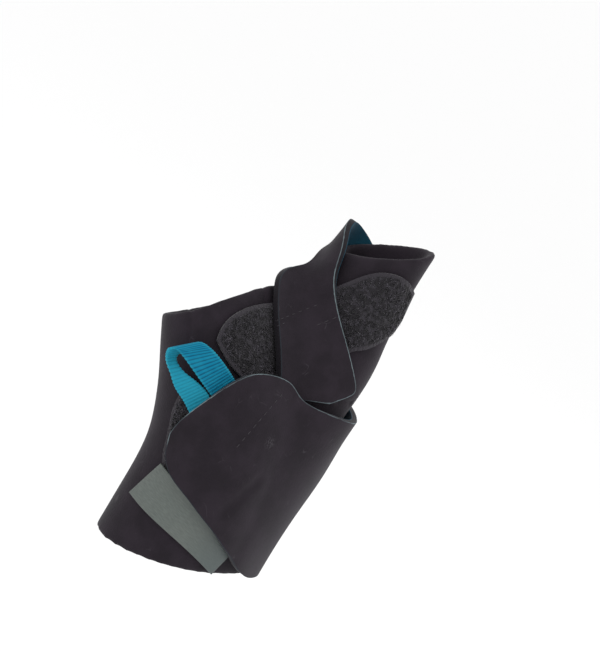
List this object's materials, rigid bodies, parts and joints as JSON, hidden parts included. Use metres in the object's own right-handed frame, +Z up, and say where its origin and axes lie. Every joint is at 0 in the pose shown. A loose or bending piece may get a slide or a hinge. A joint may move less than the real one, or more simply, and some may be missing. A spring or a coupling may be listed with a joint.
{
  "type": "thumb spica splint",
  "caption": "Soft neoprene wrist and thumb splint in its worn form: a sleeve with a thumb tube, a web strap, a broad wrist strap, pile patches and a ribbon pull.",
  "frame": {"origin": "middle of the wrist, on the axis of the forearm tube, where the wrist sits in the splint", "axes": "+Z up the forearm towards the fingers, +X to the thumb side, -Y to the palm"},
  "size_m": [0.0982, 0.0747, 0.1453],
  "materials": {
    "neoprene": "black jersey-faced neoprene, matt with a soft sheen",
    "pile": "black brushed loop pile",
    "hook_tape": "black hook tape",
    "ribbon": "teal grosgrain ribbon",
    "label_satin": "plain grey woven satin"
  },
  "bodies": {
    "root": {"sleeve": "neoprene", "thumb_pile_patch": "pile", "wrist_pile_patch": "pile", "thumb_hook_tab": "hook_tape", "thumb_strap": "neoprene", "label": "label_satin", "pull_loop": "ribbon", "wrist_hook_tab": "hook_tape", "wrist_strap": "neoprene"}
  },
  "joints": []
}
